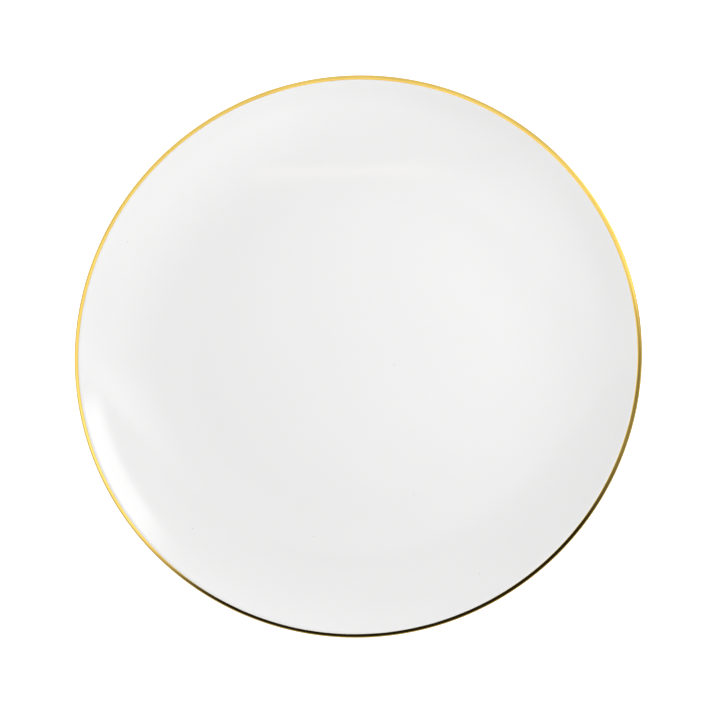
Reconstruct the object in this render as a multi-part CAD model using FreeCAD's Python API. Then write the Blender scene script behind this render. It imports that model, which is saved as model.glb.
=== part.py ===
import FreeCAD, Part
import os
from math import atan2, cos, hypot, pi, radians, sin, sqrt

# China dinner plate: a rimless coupe shape in glazed porcelain with a gilded lip.
# Millimetres. +Z is up, and the origin is the centre of the circle that the foot rests on.

# Driving dimensions, all taken over the glazed surface
PLATE_DIAMETER = 270.0      # over the gold on the lip
PLATE_HEIGHT = 24.0         # from the table to the top of the gold
WELL_DIAMETER = 148.0       # the flat middle where food sits
WELL_THICKNESS = 4.2
SHOULDER_SLOPE = 8.0        # degrees, where the gentle lower curve meets the steeper upper one
FACE_LIP_SLOPE = 35.0       # degrees, at the lip
BACK_LIP_SLOPE = 37.0       # degrees, at the lip: steeper than the face, so the wall thins upwards
LIP_INNER_RADIUS = 0.8      # the quick turn from the face onto the top of the lip
LIP_TOP_RADIUS = 3.0        # the broad, nearly level top that carries the gold
LIP_OUTER_RADIUS = 0.9      # the round of the outer edge
LIP_TOP_START = -16.0       # degrees from straight up, outwards, where the top takes over from the inner turn
LIP_TOP_END = 22.0          # and where it hands over to the outer round

FOOT_DIAMETER = 154.0       # centre line of the foot ring
FOOT_RECESS_DEPTH = 3.2
FOOT_TIP_RADIUS = 1.8
FOOT_LAND_WIDTH = 2.0       # the bare flat ground on the end of the foot
FOOT_WALL_ANGLE = 68.0      # degrees from level
FOOT_ROOT_RADIUS = 2.2      # the hollow curve where the foot grows out of the back

GLAZE_THICKNESS = 0.25
GLAZE_LINE_HEIGHT = 1.3     # the foot is wiped bare of glaze below this height

GOLD_THICKNESS = 0.1
GOLD_START = -5.0           # degrees from straight up, outwards, round the lip: from just inside its crest
GOLD_END = 125.0            # to a little way under its widest line

# Sizes that follow from them
LIP_REACH = PLATE_DIAMETER / 2 - GOLD_THICKNESS     # the widest and the highest points of the glazed lip
LIP_HEIGHT = PLATE_HEIGHT - GOLD_THICKNESS
FOOT_RADIUS = FOOT_DIAMETER / 2
WELL_RADIUS = WELL_DIAMETER / 2
FACE_HEIGHT = FOOT_RECESS_DEPTH + WELL_THICKNESS
CUTTER_SIZE = PLATE_DIAMETER    # larger than the plate in every direction


def along(centre, distance, angle):
    """The point at a distance from a centre, in a direction given in radians in the (radius, height) plane."""
    return (centre[0] + distance * cos(angle), centre[1] + distance * sin(angle))


def below(slope):
    """The direction that looks squarely down out of a surface that climbs outwards at a slope in radians."""
    return slope - pi / 2


class Round:
    """One round stretch of the section. Its centre stays put when the section is taken deeper in the clay."""

    def __init__(self, centre, radius, start, end, hollow):
        self.centre = centre
        self.radius = radius
        self.start = start
        self.end = end
        self.deeper = 1 if hollow else -1   # a hollow curve opens out with depth, a full one tightens

    def points(self, depth):
        radius = self.radius + self.deeper * depth
        middle = (self.start + self.end) / 2
        return [along(self.centre, radius, angle) for angle in (self.start, middle, self.end)]


def lip_curves():
    """The lip, from the face over the crest to the back: inner turn, level top, outer round."""
    start = pi / 2 - radians(LIP_TOP_START)
    end = pi / 2 - radians(LIP_TOP_END)
    # The top's arc sets the height and the outer round's the reach, and each touches the next.
    apart = LIP_TOP_RADIUS - LIP_OUTER_RADIUS
    top_centre = (LIP_REACH - LIP_OUTER_RADIUS - apart * cos(end), LIP_HEIGHT - LIP_TOP_RADIUS)
    inner_centre = along(top_centre, LIP_TOP_RADIUS - LIP_INNER_RADIUS, start)
    outer_centre = along(top_centre, apart, end)
    return [
        Round(inner_centre, LIP_INNER_RADIUS, radians(FACE_LIP_SLOPE) + pi / 2, start, hollow=False),
        Round(top_centre, LIP_TOP_RADIUS, start, end, hollow=False),
        Round(outer_centre, LIP_OUTER_RADIUS, end, below(radians(BACK_LIP_SLOPE)), hollow=False),
    ]


def face_curves(lip_turn):
    """The two tangent arcs that lift the face from the flat well to the lip's inner turn."""
    shoulder = radians(SHOULDER_SLOPE)
    lip = radians(FACE_LIP_SLOPE)
    top = along(lip_turn.centre, lip_turn.radius, lip + pi / 2)
    run = top[0] - WELL_RADIUS
    rise = top[1] - FACE_HEIGHT
    # run  = lower * sin(shoulder)       + upper * (sin(lip) - sin(shoulder))
    # rise = lower * (1 - cos(shoulder)) + upper * (cos(shoulder) - cos(lip))
    lower_run, upper_run = sin(shoulder), sin(lip) - sin(shoulder)
    lower_rise, upper_rise = 1 - cos(shoulder), cos(shoulder) - cos(lip)
    share = lower_run * upper_rise - upper_run * lower_rise
    lower = (run * upper_rise - rise * upper_run) / share
    upper = (rise * lower_run - run * lower_rise) / share
    lower_centre = (WELL_RADIUS, FACE_HEIGHT + lower)
    upper_centre = along(top, upper, lip + pi / 2)
    return [
        Round(lower_centre, lower, below(0), below(shoulder), hollow=True),
        Round(upper_centre, upper, below(shoulder), below(lip), hollow=True),
    ]


def back_circle(lower_face, outer_lip):
    """Centre and radius of the arc from the lip down the back, as thick at the foot as the well is."""
    slope = radians(BACK_LIP_SLOPE)
    top = along(outer_lip.centre, outer_lip.radius, below(slope))
    reach = FOOT_RADIUS + FOOT_TIP_RADIUS + FOOT_ROOT_RADIUS
    face = lower_face.centre[1] - sqrt(lower_face.radius ** 2 - (reach - WELL_RADIUS) ** 2)
    run = top[0] - reach
    rise = top[1] - (face - WELL_THICKNESS)
    turn = 2 * (slope - atan2(rise, run))
    radius = hypot(run, rise) / (2 * sin(turn / 2))
    return along(top, radius, slope + pi / 2), radius


def foot_curves(back_centre, back_radius):
    """The back's arc and the foot ring: hollow root, full tip, hollow root."""
    wall = radians(FOOT_WALL_ANGLE)
    bare_tip_radius = FOOT_TIP_RADIUS - GLAZE_THICKNESS
    tip_height = sqrt(bare_tip_radius ** 2 - (FOOT_LAND_WIDTH / 2) ** 2)
    tip_centre = (FOOT_RADIUS, tip_height)
    apart = FOOT_TIP_RADIUS + FOOT_ROOT_RADIUS      # square across a wall, from the tip's centre to a root's
    outer_side = wall - pi / 2                      # the way the outer wall faces
    inner_side = -wall - pi / 2                     # the way the inner wall faces

    # The inner root touches the level ceiling of the recess.
    ceiling_height = FOOT_RECESS_DEPTH - FOOT_ROOT_RADIUS
    beside = along(tip_centre, apart, inner_side)
    inner_root = (beside[0] - (ceiling_height - beside[1]) / sin(wall) * cos(wall), ceiling_height)

    # The outer root touches the back's arc from below: slide up the wall until the two circles touch.
    beside = along(tip_centre, apart, outer_side)
    gap = (beside[0] - back_centre[0], beside[1] - back_centre[1])
    up_wall = gap[0] * cos(wall) + gap[1] * sin(wall)
    reach = back_radius + FOOT_ROOT_RADIUS
    climb = -up_wall - sqrt(up_wall ** 2 - (gap[0] ** 2 + gap[1] ** 2 - reach ** 2))
    outer_root = along(beside, climb, wall)
    to_back = atan2(back_centre[1] - outer_root[1], back_centre[0] - outer_root[0])

    return [
        Round(back_centre, back_radius, below(radians(BACK_LIP_SLOPE)), to_back - pi, hollow=False),
        Round(outer_root, FOOT_ROOT_RADIUS, to_back, outer_side + pi, hollow=True),
        Round(tip_centre, FOOT_TIP_RADIUS, outer_side, inner_side, hollow=False),
        Round(inner_root, FOOT_ROOT_RADIUS, inner_side + pi, pi / 2, hollow=True),
    ]


def plate_curves():
    """Every round stretch of the half section, from the well over the lip and the foot to the recess."""
    lip = lip_curves()
    face = face_curves(lip[0])
    back_centre, back_radius = back_circle(face[0], lip[-1])
    return face + lip + foot_curves(back_centre, back_radius)


def place(point):
    """A (radius, height) point in the XZ plane."""
    return FreeCAD.Vector(point[0], 0, point[1])


def turned(edges):
    """Spin a closed half section about the plate's axis."""
    section = Part.Face(Part.Wire(edges))
    return section.revolve(FreeCAD.Vector(0, 0, 0), FreeCAD.Vector(0, 0, 1), 360)


def plate_solid(depth):
    """The plate's solid whose surface lies at a depth below the glazed surface."""
    start = (0, FACE_HEIGHT - depth)
    edges = []
    pen = start
    for curve in plate_curves():
        first, middle, last = [place(point) for point in curve.points(depth)]
        if place(pen).distanceToPoint(first) > 1e-6:
            edges.append(Part.makeLine(place(pen), first))
        edges.append(Part.Arc(first, middle, last).toShape())
        pen = (last.x, last.z)
    recess_centre = (0, FOOT_RECESS_DEPTH + depth)
    edges.append(Part.makeLine(place(pen), place(recess_centre)))
    edges.append(Part.makeLine(place(recess_centre), place(start)))
    return turned(edges)


def above(height):
    """All the space higher than a level, as far as the plate goes."""
    corner = FreeCAD.Vector(-CUTTER_SIZE / 2 - 1, -CUTTER_SIZE / 2 - 1, height)
    side = CUTTER_SIZE + 2
    return Part.makeBox(side, side, side, corner)


def make_porcelain_body():
    """The fired clay body with its foot ring, ground flat where it stands."""
    return plate_solid(GLAZE_THICKNESS).common(above(0))


def make_glazes():
    """The glass coat, in the two pools that are left once the foot ring is wiped bare."""
    coat = plate_solid(0).cut(plate_solid(GLAZE_THICKNESS)).common(above(GLAZE_LINE_HEIGHT))
    recess, outer = sorted(coat.Solids, key=lambda solid: solid.BoundBox.XLength)
    return outer, recess


def make_gold_rim_band():
    """The burnished gold line that wraps the lip, a thin crescent in section."""
    inner_turn, top, outer = lip_curves()
    top.start = pi / 2 - radians(GOLD_START)
    outer.end = pi / 2 - radians(GOLD_END)
    outside = [[place(point) for point in curve.points(-GOLD_THICKNESS)] for curve in (top, outer)]
    inside = [[place(point) for point in curve.points(0)] for curve in (top, outer)]
    edges = [Part.Arc(*points).toShape() for points in outside + inside]
    edges.append(Part.makeLine(outside[0][0], inside[0][0]))
    edges.append(Part.makeLine(outside[-1][-1], inside[-1][-1]))
    return turned(Part.__sortEdges__(edges))


def main():
    outer_glaze, recess_glaze = make_glazes()
    pieces = {
        "porcelain_body": make_porcelain_body(),
        "outer_glaze_coat": outer_glaze,
        "foot_recess_glaze": recess_glaze,
        "gold_rim_band": make_gold_rim_band(),
    }
    os.makedirs("parts", exist_ok=True)
    for name, shape in pieces.items():
        shape.exportStep(f"parts/{name}.step")


main()
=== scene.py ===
from math import atan2, cos, hypot, pi, radians, sin, sqrt

import bpy
from mathutils import Matrix, Vector


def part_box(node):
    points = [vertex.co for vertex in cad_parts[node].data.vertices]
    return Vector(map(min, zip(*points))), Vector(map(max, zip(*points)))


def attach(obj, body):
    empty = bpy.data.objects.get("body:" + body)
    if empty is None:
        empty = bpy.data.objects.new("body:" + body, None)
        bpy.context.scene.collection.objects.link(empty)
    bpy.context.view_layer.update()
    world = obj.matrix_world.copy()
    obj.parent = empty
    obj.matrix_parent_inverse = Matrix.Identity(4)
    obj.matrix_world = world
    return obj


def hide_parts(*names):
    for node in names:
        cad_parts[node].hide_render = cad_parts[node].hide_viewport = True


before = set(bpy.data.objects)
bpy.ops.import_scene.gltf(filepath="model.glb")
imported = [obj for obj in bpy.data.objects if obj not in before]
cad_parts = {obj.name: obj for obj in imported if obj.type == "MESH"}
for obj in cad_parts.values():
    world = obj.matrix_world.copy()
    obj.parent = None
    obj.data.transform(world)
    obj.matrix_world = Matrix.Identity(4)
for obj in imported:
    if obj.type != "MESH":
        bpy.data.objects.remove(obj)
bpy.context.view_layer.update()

# A white coupe dinner plate with a gold line on its lip. Metres, in the CAD frame: +Z is up, and the
# foot stands at z = 0.
MM = 0.001
ROOT = "root"                   # the plate's only body

# Sizes read from the frame, where a box is a lowest and a highest corner
glaze_low, glaze_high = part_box("outer_glaze_coat")
gold_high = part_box("gold_rim_band")[1]
body_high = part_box("porcelain_body")[1]
PLATE_RADIUS = gold_high.x
PLATE_HEIGHT = gold_high.z
GOLD_THICKNESS = gold_high.z - glaze_high.z
GLAZE_THICKNESS = glaze_high.z - body_high.z
GLAZE_LINE_HEIGHT = glaze_low.z         # the foot is wiped bare of glaze below this height

# Shape of the section, the same as the CAD model's
WELL_RADIUS = 74.0 * MM
WELL_THICKNESS = 4.2 * MM
SHOULDER_SLOPE = radians(8)             # where the gentle lower curve of the face meets the steeper upper one
FACE_LIP_SLOPE = radians(35)
BACK_LIP_SLOPE = radians(37)
LIP_INNER_RADIUS = 0.8 * MM
LIP_TOP_RADIUS = 3.0 * MM
LIP_OUTER_RADIUS = 0.9 * MM
LIP_TOP_START = radians(-16)            # from straight up, outwards, like every angle round the lip
LIP_TOP_END = radians(22)
FOOT_RADIUS = 77.0 * MM
FOOT_RECESS_DEPTH = 3.2 * MM
FOOT_TIP_RADIUS = 1.8 * MM
FOOT_LAND_WIDTH = 2.0 * MM
FOOT_WALL_ANGLE = radians(68)           # from level
FOOT_ROOT_RADIUS = 2.2 * MM
GOLD_START = radians(-5)                # just inside the crest of the lip
GOLD_END = radians(125)
FACE_HEIGHT = FOOT_RECESS_DEPTH + WELL_THICKNESS

# How finely the meshes are cut
SPOKES = 384
WELL_RINGS = 12
RECESS_RINGS = 10
LAND_STEPS = 3
ROLL_STEPS = 8
GOLD_STEPS = 40
HIDDEN_SHARE = 0.4              # surfaces inside the plate take this share of the points
SHARP_EDGE = radians(35)
SAME_POINT = 0.001 * MM

# Marks of the hand and the kiln. Lobes are waves round the plate: how many, their phase, their share.
WARP_HEIGHT = 0.1 * MM          # how far the lip rises and dips from firing
WARP_LOBES = ((2, 0.7 + pi / 2, 1.0), (3, 2.1 + pi / 2, 0.35))
ROLL_LENGTH = 0.2 * MM          # how far the rounded end of the glaze reaches
ROLL_SWELL = 0.35               # how proud it stands there, as a share of the glaze's thickness
GLAZE_LINE_WANDER = 0.12 * MM
GLAZE_LINE_LOBES = ((3, 0.4, 1.0), (7, 2.2, 0.6), (17, 1.3, 0.4), (41, 0.2, 0.25))
GOLD_OFF_CENTRE = radians(7)    # the banding wheel ran a little out of true, so the line is wider on one side
GOLD_WIDEST_AT = radians(60)
GOLD_EDGE_WANDER = radians(0.7)
GOLD_EDGE_LOBES = ((2, 1.1, 0.6), (5, 0.3, 0.5), (13, 2.6, 0.35), (37, 1.9, 0.3), (83, 0.8, 0.2))
GOLD_BEVEL = 0.008              # share of the band's length over which it thins out to each edge
GOLD_EDGE_SHARE = 0.2           # its thickness at the very edge, as a share of the full thickness

# Colours are linear
WHITE = (1, 1, 1, 1)
BLACK = (0, 0, 0, 1)

# Materials. A size is how wide the blotches of a noise are, in metres. A range is the stretch of the noise
# that the whole change is spread over, so a narrow range makes a stark change.
GLAZE_PALE_WHITE = (0.802, 0.801, 0.799, 1)
GLAZE_DEEP_WHITE = (0.798, 0.797, 0.795, 1)
GLAZE_CLEAREST = 0.03           # roughness
GLAZE_DULLEST = 0.09            # roughness where it is smeared by handling
GLAZE_IOR = 1.5
CLOUD_SIZE = 0.045
CLOUD_RANGE = (0.35, 0.65)
SMEAR_SIZE = 0.02
SMEAR_RANGE = (0.3, 0.75)
SPECK_SPACING = 0.016
SPECK_SIZE = 0.3 * MM
SPECK_CORE = 0.4                # share of a speck that is fully dark
SPECK_STRENGTH = 0.5
SPECK_BROWN = (0.16, 0.12, 0.09, 1)
RIPPLE_SIZE = 0.03
RIPPLE_HEIGHT = 0.03 * MM
PEEL_SIZE = 0.004
PEEL_HEIGHT = 0.0015 * MM
GROOVE_PITCH = 0.0016
GROOVE_HEIGHT = 0.006 * MM
UPRIGHT_FADE = 0.1              # the underside's grooves fade as a normal tips from this far down to up
BISCUIT_CREAM = (0.66, 0.62, 0.54, 1)
BISCUIT_PALE = (0.78, 0.75, 0.68, 1)
BISCUIT_SMOOTHEST = 0.55
BISCUIT_ROUGHEST = 0.75
GRAIN_SIZE = 0.0006
GRAIN_HEIGHT = 0.02 * MM
GRAIN_COLOUR_RANGE = (0.3, 0.7)
GRAIN_ROUGHNESS_RANGE = (0.2, 0.8)
SCUFF_GREY = (0.30, 0.29, 0.28, 1)
SCUFF_SIZE = 0.006
SCUFF_RANGE = (0.56, 0.72)
SCUFF_STRENGTH = 0.55
GOLD_BRIGHT = (0.93, 0.66, 0.16, 1)
GOLD_DEEP = (0.88, 0.60, 0.14, 1)
GOLD_SMOOTHEST = 0.06
GOLD_ROUGHEST = 0.13
POOL_SIZE = 0.02
POOL_RANGE = (0.35, 0.65)
STREAK_LENGTH = 0.012
STREAK_STRETCH = 60.0           # how much longer than wide a brush streak is
STREAK_HEIGHT = 0.002 * MM
STREAK_RANGE = (0.3, 0.7)

# Table, lights and camera
FLOOR_SIZE = 8.0
FLOOR_HEIGHT = -0.05 * MM       # a hair under the foot, so that the two faces never share a plane
FLOOR_WHITE = (0.75, 0.75, 0.75, 1)
FLOOR_ROUGHNESS = 0.9
FLOOR_GLOW = 0.8                # seen by the camera only, it keeps the table pure white close round the plate
FLOOR_MIRRORED = 0.6            # how bright it is in reflections
DOME_LIGHT = (0.699, 0.699, 0.699, 1)   # lights the plate evenly, and is never seen itself
LIGHT_SIZE = 0.4
LENS = 170.0
NEAREST_SEEN = 0.05
CAMERA_DISTANCE = 1.616
CAMERA_TILT = radians(9.3)      # away from straight down
CAMERA_AZIMUTH = radians(-65.3)
CAMERA_AIM = Vector((1.3 * MM, -2.9 * MM, 20.0 * MM))

# The room that the glaze and the gold mirror. A pair is a soft edge: where the thing isn't there yet, then
# where it is there in full. An azimuth is a thing's middle, and its sides, start and end are turned from
# there. A top and a foot are angles down from straight up. X, Y and reach are places on a ceiling 1 above
# the plate, where a direction meets it.
ROOM_LEVEL = 0.55               # how bright the room is where nothing stands
FLATTEST_RAY = 0.02             # a flatter ray is taken to climb like this, so that it still meets the ceiling

BACKDROP_LEVEL = 0.42
BACKDROP_AZIMUTH = radians(125)
BACKDROP_SIDES = (pi, 0.0)
BACKDROP_TOP = (radians(25), radians(70))

CEILING_LEVEL = 0.25
CEILING_AZIMUTH = radians(112)
CEILING_SIDES = (radians(115), radians(85))
CEILING_TOP = (radians(1), radians(15))
CEILING_FOOT = (radians(52), radians(38))

PANEL_LEVEL = 0.85
PANEL_FAR_Y = (0.41, 0.39)
PANEL_NEAR_Y = (-0.2, 0.36)
PANEL_BRIGHT_X = (0.1, 0.6)
PANEL_DULL_SHARE = 0.45         # how bright its other end is beside the bright one

KEY_LEVEL = 3.0
KEY_AZIMUTH = radians(36)
KEY_START = (radians(-20), radians(-12))
KEY_END = (radians(23), radians(9))
KEY_FACING = radians(27)        # the azimuth that its straight top edge lies square to
KEY_TOP_REACH = (1.12, 1.5)     # how far off that edge is, on the ceiling
KEY_FOOT = (radians(74), radians(69))

WINDOW_LEVEL = 0.5
WINDOW_AZIMUTH = radians(195)
WINDOW_SIDES = (radians(32), radians(12))
WINDOW_TOP = (radians(1), radians(15))
WINDOW_FOOT = (radians(55), radians(41))

DIM_LEVEL = 0.7
DIM_FAR_Y = (0.30, 0.16)
DIM_NEAR_X = (0.02, 0.15)
DIM_FOOT = (radians(58), radians(46))

STRIP_GLOW = (1.7, 1.55, 1.3, 1)
STRIP_RIDGE_X = -0.06           # where it bends
STRIP_RIDGE_Y = -0.05
STRIP_SLOPE = 1.1               # how steeply it falls away from the bend on both sides
STRIP_NEAR_SIDE = (-0.005, 0.02)
STRIP_FAR_SIDE = (0.13, 0.02)
STRIP_FAR_Y = (0.02, -0.02)
STRIP_LEFT_X = (-0.215, -0.165)
STRIP_RIGHT_X = (0.155, 0.105)

# The black card, whose near and far edges are distances from the plate's axis
CARD_LEVEL = 0.012
CARD_HEIGHT = 0.25
CARD_REACH = 2.0
CARD_AZIMUTH = radians(285)
CARD_START = (radians(-79), radians(-51))
CARD_END = (radians(66), radians(38))
CARD_VEIL = 0.6                 # how black it stays past its end, as far as the veil goes
CARD_VEIL_END = (radians(108), radians(78))
CARD_NEAR_EDGE = (0.106, 0.124)
CARD_FAR_EDGE = (1.6, 0.5)


# ---------------------------------------------------------------- the section

def along(centre, distance, angle):
    """The point at a distance from a centre, in a direction in the (radius, height) plane."""
    return (centre[0] + distance * cos(angle), centre[1] + distance * sin(angle))


def below(slope):
    """The direction that looks squarely down out of a surface that climbs outwards at a slope."""
    return slope - pi / 2


class Round:
    """A round stretch of the section, whose centre stays put when the section is taken deeper in the clay."""

    def __init__(self, centre, radius, start, end, hollow, steps):
        self.centre = centre
        self.radius = radius
        self.start = start
        self.end = end
        self.deeper = 1 if hollow else -1       # a hollow curve opens out with depth, a full one tightens
        self.steps = steps

    def points(self, depth, share=1.0):
        steps = max(2, round(self.steps * share))
        radius = self.radius + self.deeper * depth
        turn = self.end - self.start
        return [along(self.centre, radius, self.start + turn * i / steps) for i in range(steps + 1)]


def lip_curves():
    """The lip, from the face over the crest to the back: inner turn, level top, outer round."""
    start = pi / 2 - LIP_TOP_START
    end = pi / 2 - LIP_TOP_END
    apart = LIP_TOP_RADIUS - LIP_OUTER_RADIUS
    top_centre = (
        PLATE_RADIUS - GOLD_THICKNESS - LIP_OUTER_RADIUS - apart * cos(end),
        PLATE_HEIGHT - GOLD_THICKNESS - LIP_TOP_RADIUS,
    )
    inner_centre = along(top_centre, LIP_TOP_RADIUS - LIP_INNER_RADIUS, start)
    outer_centre = along(top_centre, apart, end)
    return [
        Round(inner_centre, LIP_INNER_RADIUS, FACE_LIP_SLOPE + pi / 2, start, hollow=False, steps=6),
        Round(top_centre, LIP_TOP_RADIUS, start, end, hollow=False, steps=12),
        Round(outer_centre, LIP_OUTER_RADIUS, end, below(BACK_LIP_SLOPE), hollow=False, steps=14),
    ]


def face_curves(lip_turn):
    """The two tangent arcs that lift the face from the flat well to the lip's inner turn."""
    top = along(lip_turn.centre, lip_turn.radius, FACE_LIP_SLOPE + pi / 2)
    run = top[0] - WELL_RADIUS
    rise = top[1] - FACE_HEIGHT
    # run  = lower * lower_run  + upper * upper_run
    # rise = lower * lower_rise + upper * upper_rise
    lower_run, upper_run = sin(SHOULDER_SLOPE), sin(FACE_LIP_SLOPE) - sin(SHOULDER_SLOPE)
    lower_rise, upper_rise = 1 - cos(SHOULDER_SLOPE), cos(SHOULDER_SLOPE) - cos(FACE_LIP_SLOPE)
    share = lower_run * upper_rise - upper_run * lower_rise
    lower = (run * upper_rise - rise * upper_run) / share
    upper = (rise * lower_run - run * lower_rise) / share
    lower_centre = (WELL_RADIUS, FACE_HEIGHT + lower)
    upper_centre = along(top, upper, FACE_LIP_SLOPE + pi / 2)
    return [
        Round(lower_centre, lower, below(0), below(SHOULDER_SLOPE), hollow=True, steps=14),
        Round(upper_centre, upper, below(SHOULDER_SLOPE), below(FACE_LIP_SLOPE), hollow=True, steps=44),
    ]


def back_circle(lower_face, outer_lip):
    """Centre and radius of the arc from the lip down the back, as thick at the foot as the well is."""
    top = along(outer_lip.centre, outer_lip.radius, below(BACK_LIP_SLOPE))
    reach = FOOT_RADIUS + FOOT_TIP_RADIUS + FOOT_ROOT_RADIUS
    face = lower_face.centre[1] - sqrt(lower_face.radius ** 2 - (reach - WELL_RADIUS) ** 2)
    run = top[0] - reach
    rise = top[1] - (face - WELL_THICKNESS)
    turn = 2 * (BACK_LIP_SLOPE - atan2(rise, run))
    radius = hypot(run, rise) / (2 * sin(turn / 2))
    return along(top, radius, BACK_LIP_SLOPE + pi / 2), radius


def foot_curves(back_centre, back_radius):
    """The back's arc and the foot ring: hollow root, full tip, hollow root."""
    wall = FOOT_WALL_ANGLE
    bare_tip_radius = FOOT_TIP_RADIUS - GLAZE_THICKNESS
    tip_centre = (FOOT_RADIUS, sqrt(bare_tip_radius ** 2 - (FOOT_LAND_WIDTH / 2) ** 2))
    apart = FOOT_TIP_RADIUS + FOOT_ROOT_RADIUS
    outer_side = wall - pi / 2
    inner_side = -wall - pi / 2

    # The inner root touches the level ceiling of the recess.
    ceiling_height = FOOT_RECESS_DEPTH - FOOT_ROOT_RADIUS
    beside = along(tip_centre, apart, inner_side)
    inner_root = (beside[0] - (ceiling_height - beside[1]) / sin(wall) * cos(wall), ceiling_height)

    # The outer root touches the back's arc from below: slide up the wall until the two circles touch.
    beside = along(tip_centre, apart, outer_side)
    gap = (beside[0] - back_centre[0], beside[1] - back_centre[1])
    up_wall = gap[0] * cos(wall) + gap[1] * sin(wall)
    reach = back_radius + FOOT_ROOT_RADIUS
    climb = -up_wall - sqrt(up_wall ** 2 - (gap[0] ** 2 + gap[1] ** 2 - reach ** 2))
    outer_root = along(beside, climb, wall)
    to_back = atan2(back_centre[1] - outer_root[1], back_centre[0] - outer_root[0])

    return [
        Round(back_centre, back_radius, below(BACK_LIP_SLOPE), to_back - pi, hollow=False, steps=36),
        Round(outer_root, FOOT_ROOT_RADIUS, to_back, outer_side + pi, hollow=True, steps=10),
        Round(tip_centre, FOOT_TIP_RADIUS, outer_side, inner_side, hollow=False, steps=24),
        Round(inner_root, FOOT_ROOT_RADIUS, inner_side + pi, pi / 2, hollow=True, steps=10),
    ]


LIP_TURN, LIP_TOP, LIP_OUTER = lip_curves()
LOWER_FACE, UPPER_FACE = face_curves(LIP_TURN)
BACK, OUTER_ROOT, FOOT_TIP, INNER_ROOT = foot_curves(*back_circle(LOWER_FACE, LIP_OUTER))


# ---------------------------------------------------------------- turned meshes

def uneven(turn, lobes):
    """The sum of a few waves round the plate, at one place on the way round."""
    return sum(share * sin(count * turn + phase) for count, phase, share in lobes)


def warp(radius, turn):
    """The faint saddle that a plate takes in the kiln, with none inside the foot, which is ground level."""
    reach = max(0.0, (radius - FOOT_RADIUS) / (PLATE_RADIUS - FOOT_RADIUS))
    return WARP_HEIGHT * reach ** 2 * uneven(turn, WARP_LOBES)


def in_scene(name, data):
    """An object in the scene, made from a mesh, a lamp or a camera."""
    thing = bpy.data.objects.new(name, data)
    bpy.context.scene.collection.objects.link(thing)
    return thing


def spun(name, section, closed=False):
    """A turned mesh. section(turn) gives its (radius, height) outline at that spoke, always as many points.

    The outline runs with the material on its right. One that isn't closed starts and ends on the axis.
    """
    turns = [2 * pi * spoke / SPOKES for spoke in range(SPOKES)]
    outlines = [section(turn) for turn in turns]
    count = len(outlines[0])
    poles = () if closed else (0, count - 1)
    vertices = []
    ring_start = []
    for ring in range(count):
        ring_start.append(len(vertices))
        if ring in poles:
            vertices.append((0, 0, outlines[0][ring][1]))
            continue
        for turn, outline in zip(turns, outlines):
            radius, height = outline[ring]
            vertices.append((radius * cos(turn), radius * sin(turn), height + warp(radius, turn)))
    faces = []
    for ring in range(count if closed else count - 1):
        next_ring = (ring + 1) % count
        here, there = ring_start[ring], ring_start[next_ring]
        for spoke in range(SPOKES):
            beside = (spoke + 1) % SPOKES
            if ring in poles:
                faces.append((here, there + spoke, there + beside))
            elif next_ring in poles:
                faces.append((here + spoke, there, here + beside))
            else:
                faces.append((here + spoke, there + spoke, there + beside, here + beside))
    mesh = bpy.data.meshes.new(name)
    mesh.from_pydata(vertices, [], faces)
    mesh.shade_smooth()
    mesh.set_sharp_from_angle(angle=SHARP_EDGE)
    return in_scene(name, mesh)


def joined(*stretches):
    """One outline from several, without the points that two of them share."""
    outline = []
    for stretch in stretches:
        for point in stretch:
            if not outline or hypot(point[0] - outline[-1][0], point[1] - outline[-1][1]) > SAME_POINT:
                outline.append(point)
    return outline


def level(height, start, end, steps):
    """A level stretch of outline from one radius to another."""
    return [(start + (end - start) * i / steps, height) for i in range(steps + 1)]


def face_outline(depth, share=1.0):
    """From the axis out over the well and up the face to the lip."""
    well = level(FACE_HEIGHT - depth, 0.0, WELL_RADIUS, round(WELL_RINGS * share))
    return joined(well, LOWER_FACE.points(depth, share), UPPER_FACE.points(depth, share))


def back_outline(depth, share=1.0):
    """From the face over the lip and down the back into the root of the foot."""
    stretches = (LIP_TURN, LIP_TOP, LIP_OUTER, BACK, OUTER_ROOT)
    return joined(*[stretch.points(depth, share) for stretch in stretches])


def ceiling_outline(depth, share=1.0):
    """From the root of the foot in over the ceiling of the recess to the axis."""
    root = INNER_ROOT.points(depth, share)
    return joined(root, level(FOOT_RECESS_DEPTH + depth, root[-1][0], 0.0, round(RECESS_RINGS * share)))


def glaze_end(outer, inner, wall_direction, turn):
    """The rolled end of the glaze on a wall of the foot, from its outside round to the clay.

    outer and inner are the points where the glaze's two faces leave the root of the foot.
    """
    line = GLAZE_LINE_HEIGHT + GLAZE_LINE_WANDER * uneven(turn, GLAZE_LINE_LOBES)
    down = (cos(wall_direction), sin(wall_direction))
    inwards = (inner[0] - outer[0], inner[1] - outer[1])
    length = (line - outer[1]) / down[1]
    end = []
    for i in range(ROLL_STEPS + 1):
        angle = pi * i / ROLL_STEPS
        across = (1 - cos(angle)) / 2 - ROLL_SWELL * sin(angle) * (1 + cos(angle)) / 2
        run = length + ROLL_LENGTH * sin(angle)
        end.append((
            outer[0] + down[0] * run + inwards[0] * across,
            outer[1] + down[1] * run + inwards[1] * across,
        ))
    return end


def outer_glaze_section(turn):
    """Over the face, round the lip and down the back to the foot, and back again against the clay."""
    outside = joined(face_outline(0), back_outline(0))
    inside = joined(face_outline(GLAZE_THICKNESS, HIDDEN_SHARE), back_outline(GLAZE_THICKNESS, HIDDEN_SHARE))
    end = glaze_end(outside[-1], inside[-1], -pi + FOOT_WALL_ANGLE, turn)
    return outside + end + inside[::-1]


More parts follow.
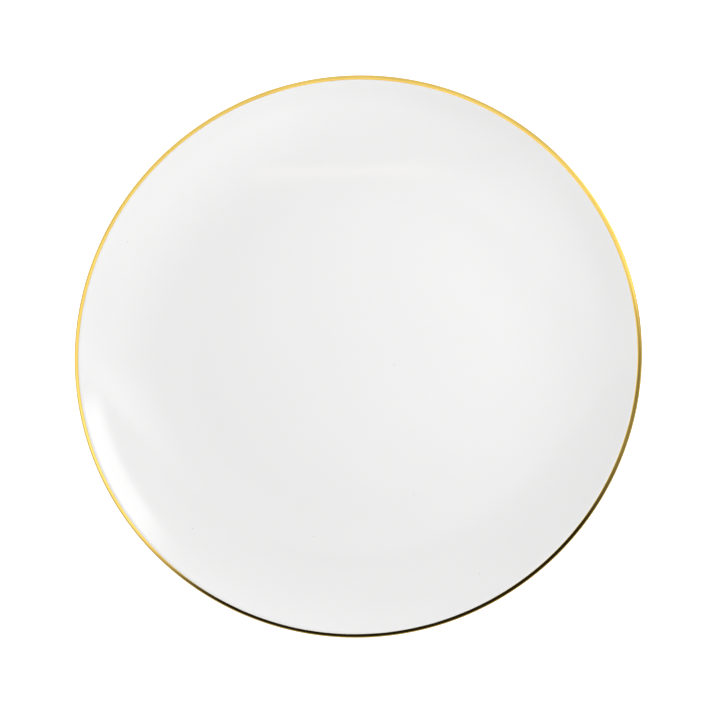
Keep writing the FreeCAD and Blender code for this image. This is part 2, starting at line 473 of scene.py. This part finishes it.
def recess_glaze_section(turn):
    """Out against the clay to the foot, and back over the glaze inside the foot ring."""
    outside = ceiling_outline(0)
    inside = ceiling_outline(GLAZE_THICKNESS, HIDDEN_SHARE)
    end = glaze_end(outside[0], inside[0], -FOOT_WALL_ANGLE, turn)
    return inside[::-1] + end[::-1] + outside


def body_section(turn):
    """The clay under the glaze, with the foot's bare tip ground flat. It is alike at every turn."""
    tip = FOOT_TIP.points(GLAZE_THICKNESS)
    land_outside = FOOT_RADIUS + FOOT_LAND_WIDTH / 2
    land_inside = FOOT_RADIUS - FOOT_LAND_WIDTH / 2
    return joined(
        face_outline(GLAZE_THICKNESS, HIDDEN_SHARE),
        back_outline(GLAZE_THICKNESS, HIDDEN_SHARE),
        [point for point in tip if point[0] > land_outside and point[1] > 0],
        level(0.0, land_outside, land_inside, LAND_STEPS),
        [point for point in tip if point[0] < land_inside and point[1] > 0],
        ceiling_outline(GLAZE_THICKNESS, HIDDEN_SHARE),
    )


def gold_section(turn):
    """A thin crescent round the lip. Its edge on the face runs off centre and wanders, as a brush's does."""
    off_centre = GOLD_OFF_CENTRE * cos(turn - GOLD_WIDEST_AT)
    first = GOLD_START - off_centre - GOLD_EDGE_WANDER * uneven(turn, GOLD_EDGE_LOBES)
    top_length = LIP_TOP.radius * (LIP_TOP_END - first)
    outer_length = LIP_OUTER.radius * (GOLD_END - LIP_TOP_END)
    shares = [GOLD_BEVEL + (1 - 2 * GOLD_BEVEL) * i / GOLD_STEPS for i in range(GOLD_STEPS + 1)]
    outside = []
    inside = []
    for share in [0, *shares, 1]:
        run = (top_length + outer_length) * share
        if run < top_length:
            curve = LIP_TOP
            lean = first + run / LIP_TOP.radius
        else:
            curve = LIP_OUTER
            lean = LIP_TOP_END + (run - top_length) / LIP_OUTER.radius
        thickness = GOLD_THICKNESS * (GOLD_EDGE_SHARE if share in (0, 1) else 1)
        outside.append(along(curve.centre, curve.radius + thickness, pi / 2 - lean))
        inside.append(along(curve.centre, curve.radius, pi / 2 - lean))
    return outside + inside[::-1]


def build_pieces():
    """Each visible piece, riding on the plate's body in place of the CAD node of its name."""
    glaze = white_glaze()
    made = {
        "porcelain_body": (spun("fired_body", body_section), "bare_porcelain", bare_porcelain()),
        "outer_glaze_coat": (spun("outer_glaze", outer_glaze_section), "white_glaze", glaze),
        "foot_recess_glaze": (spun("recess_glaze", recess_glaze_section), "white_glaze", glaze),
        "gold_rim_band": (spun("gold_band", gold_section, closed=True), "burnished_gold", burnished_gold()),
    }
    for node, (piece, slot, material) in made.items():
        piece.data.materials.append(material)
        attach(piece, ROOT)
        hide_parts(node)


# ---------------------------------------------------------------- shader nodes

def new_material(name):
    """A material with its nodes, its one Principled shader, and the object coordinates in metres."""
    material = bpy.data.materials.new(name)
    material.use_nodes = True
    tree = material.node_tree
    coordinates = tree.nodes.new("ShaderNodeTexCoord").outputs["Object"]
    return material, tree, tree.nodes["Principled BSDF"], coordinates


def link_surface(tree, shader, colour, roughness, normal):
    """Link what each of the plate's materials works out for itself."""
    tree.links.new(colour, shader.inputs["Base Color"])
    tree.links.new(roughness, shader.inputs["Roughness"])
    tree.links.new(normal, shader.inputs["Normal"])


def put(tree, kind, inputs, **settings):
    """A node with its inputs set or linked, by name or by number."""
    node = tree.nodes.new(kind)
    for key, value in settings.items():
        setattr(node, key, value)
    for key, value in inputs.items():
        if isinstance(value, bpy.types.NodeSocket):
            tree.links.new(value, node.inputs[key])
        else:
            node.inputs[key].default_value = value
    return node


def calculated(tree, operation, *values):
    """One value worked out from others."""
    return put(tree, "ShaderNodeMath", dict(enumerate(values)), operation=operation).outputs[0]


def sum_of(tree, first, *others):
    """Two or more values added up."""
    for other in others:
        first = calculated(tree, "ADD", first, other)
    return first


def product(tree, first, *others):
    """One value, or several multiplied together."""
    for other in others:
        first = calculated(tree, "MULTIPLY", first, other)
    return first


def spread(tree, value, low, high, new_low=0.0, new_high=1.0):
    """Value stretched from one range to another, and held at the ends."""
    inputs = {"Value": value, "From Min": low, "From Max": high, "To Min": new_low, "To Max": new_high}
    return put(tree, "ShaderNodeMapRange", inputs).outputs["Result"]


def smooth(tree, value, edge):
    """0 to 1 over a soft edge, which is the value where it is 0 and the value where it is 1."""
    inputs = {"Value": value, "From Min": edge[0], "From Max": edge[1]}
    return put(tree, "ShaderNodeMapRange", inputs, interpolation_type="SMOOTHSTEP").outputs["Result"]


def within(tree, value, *edges):
    """1 where a value is on the full side of all the soft edges."""
    return product(tree, *[smooth(tree, value, edge) for edge in edges])


def blended(tree, share, first, second):
    """A colour between two others."""
    inputs = {"Factor": share, 6: first, 7: second}
    return put(tree, "ShaderNodeMix", inputs, data_type="RGBA").outputs[2]


def noise(tree, vector, size, detail=2.0, roughness=0.5):
    """Soft noise between 0 and 1 whose blotches are about `size` metres across."""
    inputs = {"Vector": vector, "Scale": 1 / size, "Detail": detail, "Roughness": roughness}
    return put(tree, "ShaderNodeTexNoise", inputs).outputs["Fac"]


def bump(tree, height, distance, normal=None):
    """A bumped normal. height is 0 to 1, and distance is how tall 1 is in metres."""
    inputs = {"Height": height, "Distance": distance, "Strength": 1.0}
    if normal is not None:
        inputs["Normal"] = normal
    return put(tree, "ShaderNodeBump", inputs).outputs["Normal"]


def from_axis(tree, coordinates):
    """How far each point is from the plate's axis."""
    flat = put(tree, "ShaderNodeVectorMath", {0: coordinates, 1: (1, 1, 0)}, operation="MULTIPLY").outputs[0]
    return put(tree, "ShaderNodeVectorMath", {0: flat}, operation="LENGTH").outputs["Value"]


def distance_towards(tree, x, y, azimuth):
    """How far out a place lies when it is measured towards an azimuth."""
    return sum_of(tree, product(tree, x, cos(azimuth)), product(tree, y, sin(azimuth)))


def turn_in_plan(tree, x, y, azimuth):
    """The angle from an azimuth round to a place or a direction, from -pi to pi."""
    ahead = distance_towards(tree, x, y, azimuth)
    aside = distance_towards(tree, x, y, azimuth + pi / 2)
    return calculated(tree, "ARCTAN2", aside, ahead)


# ---------------------------------------------------------------- materials

def specks(tree, coordinates, spacing, size):
    """1 in a few tiny round spots scattered through space, 0 elsewhere."""
    inputs = {"Vector": coordinates, "Scale": 1 / spacing}
    cells = put(tree, "ShaderNodeTexVoronoi", inputs).outputs["Distance"]
    return spread(tree, cells, size / spacing * SPECK_CORE, size / spacing, 1.0, 0.0)


def grooves(tree, coordinates, pitch):
    """Fine rings about the axis, as a turning tool leaves them."""
    rings = {"W": from_axis(tree, coordinates), "Scale": 1 / pitch, "Detail": 2.0}
    return put(tree, "ShaderNodeTexNoise", rings, noise_dimensions="1D").outputs["Fac"]


def facing_down(tree):
    """1 where the surface looks down, 0 where it looks up."""
    normal = put(tree, "ShaderNodeNewGeometry", {}).outputs["Normal"]
    height = put(tree, "ShaderNodeSeparateXYZ", {0: normal}).outputs["Z"]
    return spread(tree, height, UPRIGHT_FADE, -UPRIGHT_FADE)


def white_glaze():
    """Clear gloss over white clay: almost even, with soft clouds, a few iron specks and a faint ripple."""
    material, tree, shader, coordinates = new_material("white_glaze")
    clouds = noise(tree, coordinates, CLOUD_SIZE, detail=3.0)
    colour = blended(tree, spread(tree, clouds, *CLOUD_RANGE), GLAZE_DEEP_WHITE, GLAZE_PALE_WHITE)
    iron = specks(tree, coordinates, SPECK_SPACING, SPECK_SIZE)
    colour = blended(tree, product(tree, iron, SPECK_STRENGTH), colour, SPECK_BROWN)
    smears = noise(tree, coordinates, SMEAR_SIZE, detail=4.0, roughness=0.65)
    roughness = spread(tree, smears, *SMEAR_RANGE, GLAZE_CLEAREST, GLAZE_DULLEST)
    normal = bump(tree, noise(tree, coordinates, RIPPLE_SIZE, detail=1.0), RIPPLE_HEIGHT)
    normal = bump(tree, noise(tree, coordinates, PEEL_SIZE, detail=1.0), PEEL_HEIGHT, normal)
    turned = product(tree, grooves(tree, coordinates, GROOVE_PITCH), facing_down(tree))
    normal = bump(tree, turned, GROOVE_HEIGHT, normal)
    link_surface(tree, shader, colour, roughness, normal)
    shader.inputs["IOR"].default_value = GLAZE_IOR
    return material


def bare_porcelain():
    """The unglazed foot: a creamy, dry, finely sanded surface, greyed where it has slid on shelves."""
    material, tree, shader, coordinates = new_material("bare_porcelain")
    grain = noise(tree, coordinates, GRAIN_SIZE, detail=4.0, roughness=0.7)
    scuffs = noise(tree, coordinates, SCUFF_SIZE, detail=6.0, roughness=0.75)
    colour = blended(tree, spread(tree, grain, *GRAIN_COLOUR_RANGE), BISCUIT_CREAM, BISCUIT_PALE)
    colour = blended(tree, spread(tree, scuffs, *SCUFF_RANGE, 0.0, SCUFF_STRENGTH), colour, SCUFF_GREY)
    roughness = spread(tree, grain, *GRAIN_ROUGHNESS_RANGE, BISCUIT_SMOOTHEST, BISCUIT_ROUGHEST)
    link_surface(tree, shader, colour, roughness, bump(tree, grain, GRAIN_HEIGHT))
    return material


def burnished_gold():
    """Fired gold: mirror bright, with fine brush streaks that run round the lip."""
    material, tree, shader, coordinates = new_material("burnished_gold")
    place = put(tree, "ShaderNodeSeparateXYZ", {0: coordinates}).outputs
    across = sum_of(tree, place["Z"], product(tree, from_axis(tree, coordinates), -1.0))
    drawn_out = product(tree, across, STREAK_STRETCH)
    along_lip = put(tree, "ShaderNodeCombineXYZ", {0: place["X"], 1: place["Y"], 2: drawn_out}).outputs[0]
    streaks = noise(tree, along_lip, STREAK_LENGTH, detail=3.0, roughness=0.6)
    pools = noise(tree, coordinates, POOL_SIZE, detail=2.0)
    colour = blended(tree, spread(tree, pools, *POOL_RANGE), GOLD_DEEP, GOLD_BRIGHT)
    roughness = spread(tree, streaks, *STREAK_RANGE, GOLD_SMOOTHEST, GOLD_ROUGHEST)
    link_surface(tree, shader, colour, roughness, bump(tree, streaks, STREAK_HEIGHT))
    shader.inputs["Metallic"].default_value = 1.0
    return material


# ---------------------------------------------------------------- table, lights and camera

def towards(azimuth, zenith):
    """The unit direction at an azimuth from +X and an angle down from straight up."""
    return Vector((sin(zenith) * cos(azimuth), sin(zenith) * sin(azimuth), cos(zenith)))


def level_square(name, half, height):
    """A level square about the plate's axis."""
    mesh = bpy.data.meshes.new(name)
    corners = [(-half, -half), (half, -half), (half, half), (-half, half)]
    mesh.from_pydata([(x, y, height) for x, y in corners], [], [(0, 1, 2, 3)])
    return in_scene(name, mesh)


def build_floor():
    """A plain table that reads as pure white to the camera and as an even pale grey in reflections."""
    floor = level_square("table_top", FLOOR_SIZE / 2, FLOOR_HEIGHT)
    material, tree, shader, _ = new_material("table_white")
    path = put(tree, "ShaderNodeLightPath", {}).outputs
    seen = product(tree, path["Is Camera Ray"], FLOOR_GLOW)
    mirrored = product(tree, path["Is Glossy Ray"], FLOOR_MIRRORED)
    # In reflections it is black and glows evenly, without the pools of light under the low lamps.
    colour = blended(tree, path["Is Glossy Ray"], FLOOR_WHITE, BLACK)
    tree.links.new(colour, shader.inputs["Base Color"])
    tree.links.new(sum_of(tree, seen, mirrored), shader.inputs["Emission Strength"])
    shader.inputs["Emission Color"].default_value = WHITE
    shader.inputs["Roughness"].default_value = FLOOR_ROUGHNESS
    shader.inputs["Specular IOR Level"].default_value = 0.0
    floor.data.materials.append(material)


def soft_light(name, azimuth, zenith, distance, watts):
    """A soft box that faces the plate, placed in degrees and metres. It is never seen, in shot or mirrored."""
    lamp = bpy.data.lights.new(name, "AREA")
    lamp.size = LIGHT_SIZE
    lamp.energy = watts
    holder = in_scene(name, lamp)
    direction = towards(radians(azimuth), radians(zenith))
    holder.location = direction * distance
    holder.rotation_euler = direction.to_track_quat("Z", "Y").to_euler()
    holder.visible_camera = False
    holder.visible_glossy = False


def build_camera():
    """Looks almost straight down, from a little towards the lower right, with +Y up the picture."""
    data = bpy.data.cameras.new("camera")
    data.lens = LENS
    data.clip_start = NEAREST_SEEN
    camera = in_scene("camera", data)
    back = towards(CAMERA_AZIMUTH, CAMERA_TILT)
    right = Vector((0, 1, 0)).cross(back).normalized()
    up = back.cross(right)
    place = CAMERA_AIM + back * CAMERA_DISTANCE
    camera.matrix_world = Matrix.Translation(place) @ Matrix((right, up, back)).transposed().to_4x4()
    bpy.context.scene.camera = camera


# ---------------------------------------------------------------- the mirrored room

class Sky:
    """The directions that a mirrored ray can take, in the measures that place the parts of the room."""

    def __init__(self, tree):
        self.tree = tree
        direction = put(tree, "ShaderNodeTexCoord", {}).outputs["Generated"]
        self.x, self.y, z = put(tree, "ShaderNodeSeparateXYZ", {0: direction}).outputs
        height = calculated(tree, "MAXIMUM", z, FLATTEST_RAY)
        self.ceiling_x = calculated(tree, "DIVIDE", self.x, height)
        self.ceiling_y = calculated(tree, "DIVIDE", self.y, height)
        self.zenith = calculated(tree, "ARCCOSINE", z)

    def ceiling_towards(self, azimuth):
        """How far out the ceiling point lies when it is measured towards an azimuth."""
        return distance_towards(self.tree, self.ceiling_x, self.ceiling_y, azimuth)

    def turn(self, azimuth):
        """The angle in plan from an azimuth round to the direction, from -pi to pi."""
        return turn_in_plan(self.tree, self.x, self.y, azimuth)

    def turn_from(self, azimuth):
        """The size of that angle."""
        return calculated(self.tree, "ABSOLUTE", self.turn(azimuth))


def backdrop(sky):
    """A pale cloth that curves round the plate, brightest behind it and towards the table."""
    sides = smooth(sky.tree, sky.turn_from(BACKDROP_AZIMUTH), BACKDROP_SIDES)
    return product(sky.tree, sides, smooth(sky.tree, sky.zenith, BACKDROP_TOP))


def bright_ceiling(sky):
    """The lit part of the ceiling, behind the plate."""
    sides = smooth(sky.tree, sky.turn_from(CEILING_AZIMUTH), CEILING_SIDES)
    return product(sky.tree, sides, within(sky.tree, sky.zenith, CEILING_TOP, CEILING_FOOT))


def overhead_panel(sky):
    """A long panel above the plate, with a straight far edge and its brighter end towards +X."""
    across = within(sky.tree, sky.ceiling_y, PANEL_FAR_Y, PANEL_NEAR_Y)
    bright_end = smooth(sky.tree, sky.ceiling_x, PANEL_BRIGHT_X)
    extra = product(sky.tree, bright_end, 1 - PANEL_DULL_SHARE)
    return product(sky.tree, across, sum_of(sky.tree, extra, PANEL_DULL_SHARE))


def key_softbox(sky):
    """The main soft box, standing to the right and behind, seen from its top edge down."""
    return product(
        sky.tree,
        smooth(sky.tree, sky.ceiling_towards(KEY_FACING), KEY_TOP_REACH),
        smooth(sky.tree, sky.zenith, KEY_FOOT),
        within(sky.tree, sky.turn(KEY_AZIMUTH), KEY_START, KEY_END),
    )


def left_window(sky):
    """A pale light high on the left."""
    sides = smooth(sky.tree, sky.turn_from(WINDOW_AZIMUTH), WINDOW_SIDES)
    return product(sky.tree, sides, within(sky.tree, sky.zenith, WINDOW_TOP, WINDOW_FOOT))


def dim_corner(sky):
    """The half-lit part of the ceiling on the right."""
    return product(
        sky.tree,
        smooth(sky.tree, sky.ceiling_y, DIM_FAR_Y),
        smooth(sky.tree, sky.ceiling_x, DIM_NEAR_X),
        smooth(sky.tree, sky.zenith, DIM_FOOT),
    )


def bent_strip(sky):
    """A thin warm strip near the zenith, bent like the ridge of a roof."""
    from_ridge = calculated(sky.tree, "ABSOLUTE", sum_of(sky.tree, sky.ceiling_x, -STRIP_RIDGE_X))
    across = sum_of(sky.tree, sky.ceiling_y, product(sky.tree, from_ridge, STRIP_SLOPE), -STRIP_RIDGE_Y)
    return product(
        sky.tree,
        within(sky.tree, across, STRIP_NEAR_SIDE, STRIP_FAR_SIDE),
        within(sky.tree, sky.ceiling_x, STRIP_LEFT_X, STRIP_RIGHT_X),
        smooth(sky.tree, sky.ceiling_y, STRIP_FAR_Y),
    )


def mirrored_room(tree):
    """What the glaze and the gold mirror: a dim room with a few brighter things in it."""
    sky = Sky(tree)
    parts = (
        (backdrop, BACKDROP_LEVEL),
        (bright_ceiling, CEILING_LEVEL),
        (overhead_panel, PANEL_LEVEL),
        (key_softbox, KEY_LEVEL),
        (left_window, WINDOW_LEVEL),
    )
    room = ROOM_LEVEL
    for part, brightness in parts:
        room = sum_of(tree, room, product(tree, part(sky), brightness))
    room = blended(tree, dim_corner(sky), room, (DIM_LEVEL, DIM_LEVEL, DIM_LEVEL, 1))
    return blended(tree, bent_strip(sky), room, STRIP_GLOW)


def build_world():
    """Even light from all round, white to the camera, and the mirrored room for reflections."""
    world = bpy.data.worlds.new("studio")
    bpy.context.scene.world = world
    world.use_nodes = True
    tree = world.node_tree
    path = put(tree, "ShaderNodeLightPath", {}).outputs
    colour = blended(tree, path["Is Glossy Ray"], DOME_LIGHT, mirrored_room(tree))
    colour = blended(tree, path["Is Camera Ray"], colour, WHITE)
    tree.links.new(colour, tree.nodes["Background"].inputs["Color"])


def build_dark_card():
    """A black card over the near side of the plate, with soft edges. It is only ever seen mirrored."""
    card = level_square("dark_card", CARD_REACH, CARD_HEIGHT)
    material, tree, shader, coordinates = new_material("card_black")
    place = put(tree, "ShaderNodeSeparateXYZ", {0: coordinates}).outputs
    turn = turn_in_plan(tree, place["X"], place["Y"], CARD_AZIMUTH)
    veil = product(tree, smooth(tree, turn, CARD_VEIL_END), CARD_VEIL)
    rest = product(tree, smooth(tree, turn, CARD_END), 1 - CARD_VEIL)
    sides = product(tree, smooth(tree, turn, CARD_START), sum_of(tree, veil, rest))
    depth = within(tree, from_axis(tree, coordinates), CARD_NEAR_EDGE, CARD_FAR_EDGE)
    black = put(tree, "ShaderNodeEmission", {"Strength": CARD_LEVEL}).outputs[0]
    clear = put(tree, "ShaderNodeBsdfTransparent", {}).outputs[0]
    surface = put(tree, "ShaderNodeMixShader", {0: product(tree, sides, depth), 1: clear, 2: black}).outputs[0]
    tree.links.new(surface, tree.nodes["Material Output"].inputs["Surface"])
    tree.nodes.remove(shader)
    card.data.materials.append(material)
    card.visible_camera = False
    card.visible_diffuse = False
    card.visible_transmission = False
    card.visible_shadow = False


def build_studio():
    build_floor()
    build_dark_card()
    build_camera()
    soft_light("high_right", azimuth=30, zenith=30, distance=0.6, watts=1.03)
    soft_light("low_right", azimuth=0, zenith=78, distance=0.6, watts=1.85)
    soft_light("low_front", azimuth=276, zenith=78, distance=1.2, watts=3.3)
    soft_light("low_back", azimuth=135, zenith=78, distance=1.2, watts=2.2)
    build_world()
    bpy.context.scene.view_settings.view_transform = "Standard"


build_pieces()
build_studio()
